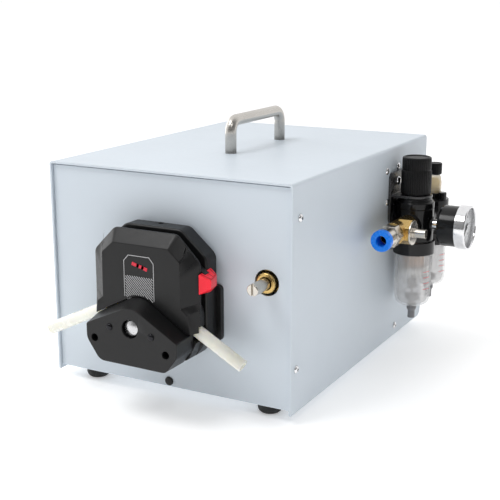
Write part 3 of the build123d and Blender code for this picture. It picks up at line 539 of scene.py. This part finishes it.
def head_badge():
    """Moulded outline with slanting ribs and a plain red mark on the jaw's front."""
    face = Vector((shaft.x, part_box("jaw_cover")[0].y, base))
    frame_line = [(-16.5, 99), (-16.5, 131.2), (-11.8, 136.4), (9.4, 136.4), (13.7, 131.2), (13.7, 98)]
    strip("badge_outline", frame_line, 0.55, 0.25, face, FORWARD, RIGHTWARD, "jaw", "silver")
    pitch, start, crest, step = 2.45, -38, 118.3, 0.25
    for number in range(21):
        points = [(start + pitch * number + t * step, crest - t * step) for t in range(120)]
        inside = [(x, z) for x, z in points
                  if -15.4 < x < 12.6 and z > max(min(104.1 + 0.514 * x, 103.4 - 0.66 * x, 100.2) + 1.2, 97)]
        if len(inside) > 5:
            strip(f"badge_rib_{number}", [inside[0], inside[-1]], 0.6, 0.2, face, FORWARD, RIGHTWARD, "jaw", "silver")
    for number, (x, z, reach) in enumerate(((-4.6, 128.6, 3.6), (0.2, 127.4, 3.6), (4.4, 126.2, 2.8))):
        strip(f"badge_mark_{number}", [(x - reach, z + 0.9), (x + reach, z - 0.9)], 3.0, 0.3, face, FORWARD,
              RIGHTWARD, "jaw", "mark")


def tip_grooves():
    """Three grooves over the rounded end of the red tip, drawn as darker red strips: painted shade inside the grooves.
    """
    low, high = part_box("lever_tip")
    depth = high.y - low.y
    for number, share in enumerate((0.14, 0.5, 0.86)):
        inner = Vector((shaft.x + 54.2 * MM, low.y + depth * share, base + (125.8 + 1.6 * share) * MM))
        outer = Vector((shaft.x + (66.2 - 6.4 * share) * MM, inner.y, base + (122.6 - 0.3 * share) * MM))
        along = (outer - inner).normalized()
        up = along.cross(Vector(REARWARD)).normalized() * -1
        if up.z < 0:
            up.negate()
        run = (outer - inner).length / MM
        strip(f"tip_groove_{number}", [(0.8 if share != 0.5 else 3.6, 0), (run - 0.9, 0)], 1.0, 0.1, inner, up, along,
              "lever", "groove_shade")


head_badge()
tip_grooves()
crisp("upper_jaw", "white", 0.3)
crisp("head_screws", "screw", 0.0)
crisp("pump_tube", "silicone", 0.0)
for name in ("rotor_hub", "roller_pins", "drive_shaft", "shaft_bearings", "roller_1", "roller_2", "roller_3",
             "roller_4", "output_gear", "motor_rotor"):
    crisp(name, "steel", 0.0)
for name in ("gearbox_housing", "motor_housing"):
    crisp(name, "alloy", 0.4)

# ---------------------------------------------------------------- valve, air unit
crisp("valve_body", "brass", 0.3)
crisp("valve_nut", "brass", 0.3)
crisp("valve_stem", "nickel", 0.3)
crisp("air_hoses", "hose", 0.0)
crisp("frl_bracket", "cast", 0.4)
crisp("regulator_body", "gloss", 0.5, 3)
crisp("lubricator_body", "gloss", 0.5, 3)
crisp("regulator_bonnet", "gloss", 0.3)
crisp("bowl_collars", "gloss", 0.4)


def ribbed(node, profile, ribs, depth, least):
    """Turned knob with fine ribs on its outer wall, in place of the node."""
    low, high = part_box(node)
    centre = Vector(((low.x + high.x) / 2, (low.y + high.y) / 2, low.z))

    def wave(turn, radius, height):
        return depth * (abs(cos(turn * ribs / 2)) ** 0.6 - 1) if radius >= least else 0

    piece = lathe(node + "_turned", profile, centre, UP, RIGHTWARD, body_of(node), "knob", ribs * 8, wave)
    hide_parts(node)


ribbed("regulator_knob", [(0, 36.6), (11.6, 36.6), (12.2, 37.4), (13.2, 37.5), (14.2, 36.9), (14.5, 35.6), (14.6, 34),
                          (14.6, 25.8), (14.0, 25.0), (14.0, 24.6), (15.0, 23.9), (15.2, 23.2), (15.2, 1.6),
                          (14.8, 0.4), (14.2, 0), (12.6, 0), (12.6, 33.5), (0, 33.5)], 40, 0.45, 14.5)
ribbed("oil_knob", [(0, 11.7), (4.4, 11.7), (4.8, 12), (6, 12), (6.5, 11.5), (6.6, 10.8), (6.6, 1.2), (6.0, 0.3),
                    (5.6, 0), (0, 0)], 22, 0.35, 6.5)
crisp("regulator_spindle", "steel", 0.0)
crisp("filter_bowl", "bowl", 0.0)
crisp("lubricator_bowl", "bowl", 0.0)
crisp("filter_element", "bronze", 0.3)
crisp("filter_baffle", "white", 0.3)
crisp("filter_drain", "grey", 0.2)
crisp("lubricator_drain", "grey", 0.2)
crisp("sight_dome", "amber", 0.0)
crisp("gauge_case", "gloss", 0.3, second="chrome", where=lambda place: place.x < stem_start)
crisp("gauge_bezel", "chrome", 0.2)
crisp("gauge_dial", "dial", 0.0)
crisp("gauge_needle", "ink_and_painted_shade", 0.0)
crisp("gauge_lens", "glass", 0.0)
crisp("inlet_tee", "brass", 0.3, second="nickel", where=lambda place: place.x > washer_start)
crisp("inlet_fitting", "nickel", 0.3)
crisp("release_ring", "blue", 0.4, 3)
crisp("outlet_elbow", "brass", 0.3)


def dial_marks():
    """Generic scale: ticks, and numbers from 0 to 10."""
    face = Vector((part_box("gauge_dial")[1].x, gauge.y, gauge.z))
    first_angle, tick_step, number_step = 225, 9, 54
    number_radius, outer = 11.2, 17.4
    for number in range(31):
        turn = radians(first_angle - tick_step * number)
        inner, width = (14.2, 0.55) if number % 6 == 0 else (15.6, 0.3)
        ends = [(reach * cos(turn), reach * sin(turn)) for reach in (inner, outer)]
        strip(f"dial_tick_{number}", ends, width, 0.06, face, RIGHTWARD, REARWARD, "cabinet", "ink_and_painted_shade")
    for number in range(6):
        turn = radians(first_angle - number_step * number)
        words = bpy.data.curves.new(f"dial_number_{number}", "FONT")
        words.body, words.size, words.extrude = str(2 * number), 4.2 * MM, 0.03 * MM
        words.align_x, words.align_y = "CENTER", "CENTER"
        text = bpy.data.objects.new(f"dial_text_{number}", words)
        scene.collection.objects.link(text)
        bpy.context.view_layer.update()
        mesh = bpy.data.meshes.new_from_object(text.evaluated_get(bpy.context.evaluated_depsgraph_get()))
        bpy.data.objects.remove(text)
        place = (number_radius * cos(turn) * MM, number_radius * sin(turn) * MM, 0.05 * MM)
        mesh.transform(Matrix.Translation(place))
        mesh.transform(basis(face, RIGHTWARD, REARWARD))
        link_piece(f"dial_number_{number}", mesh, "cabinet", "ink_and_painted_shade")


def arc_band(name, centre, radius, low, high, start, end, body, material):
    """Thin printed band on a round wall; radius and heights in mm, angles in degrees."""
    shape = bmesh.new()
    steps, thickness = 16, 0.12
    turns = [radians(start + (end - start) * i / steps) for i in range(steps + 1)]
    rows = []
    for reach in (radius, radius + thickness):
        for height in (low, high):
            rows.append([shape.verts.new((centre.x + reach * MM * cos(turn), centre.y + reach * MM * sin(turn),
                                          base + height * MM)) for turn in turns])
    for a, b in ((0, 1), (2, 3), (0, 2), (1, 3)):
        for i in range(steps):
            shape.faces.new((rows[a][i], rows[a][i + 1], rows[b][i + 1], rows[b][i]))
    for i in (0, steps):
        shape.faces.new((rows[0][i], rows[1][i], rows[3][i], rows[2][i]))
    bmesh.ops.recalc_face_normals(shape, faces=shape.faces)
    mesh = bpy.data.meshes.new(name)
    shape.to_mesh(mesh)
    shape.free()
    link_piece(name, mesh, body, material)


def bowl_details():
    """Printed level bands, and a float on its rod inside the filter bowl."""
    for number, (node, lines) in enumerate((("filter_bowl", (60, 66, 72, 78)), ("lubricator_bowl", (66, 72, 78, 84)))):
        centre, radius = middle(node), (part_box(node)[1].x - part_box(node)[0].x) / 2 / MM
        for place, height in enumerate(lines):
            arc_band(f"level_{number}_{place}", centre, radius - 0.15, height, height + 0.7, -35, -8, "cabinet",
                     "level")
    centre = middle("filter_bowl")
    rod = Vector((centre.x, centre.y, base + 50 * MM))
    lathe("float_rod", [(0, 0), (1.2, 0), (1.2, 24.5), (0, 24.5)], rod, UP, RIGHTWARD, "cabinet", "grey", 24)
    lathe("float", [(1.2, 8), (4.6, 8), (5, 8.6), (5, 16.4), (4.6, 17), (1.2, 17)], rod, UP, RIGHTWARD,
          "cabinet", "grey", 48, closed=True)


def screw_crosses():
    """Painted shade for the cross recesses on the screws of both walls; places are from the cover's front lower edge,
    in mm.
    """
    for number, (y, z) in enumerate(SIDE_SCREWS + UNIT_SCREWS):
        place = Vector((right + SCREW_HEAD_HEIGHT * MM, front + y * MM, base + z * MM))
        cross_recess(f"right_cross_{number}", place, RIGHTWARD, REARWARD, "cabinet")
    for number, (y, z) in enumerate(SIDE_SCREWS):
        place = Vector((left - SCREW_HEAD_HEIGHT * MM, front + y * MM, base + z * MM))
        cross_recess(f"left_cross_{number}", place, LEFTWARD, FORWARD, "cabinet")


dial_marks()
bowl_details()
screw_crosses()
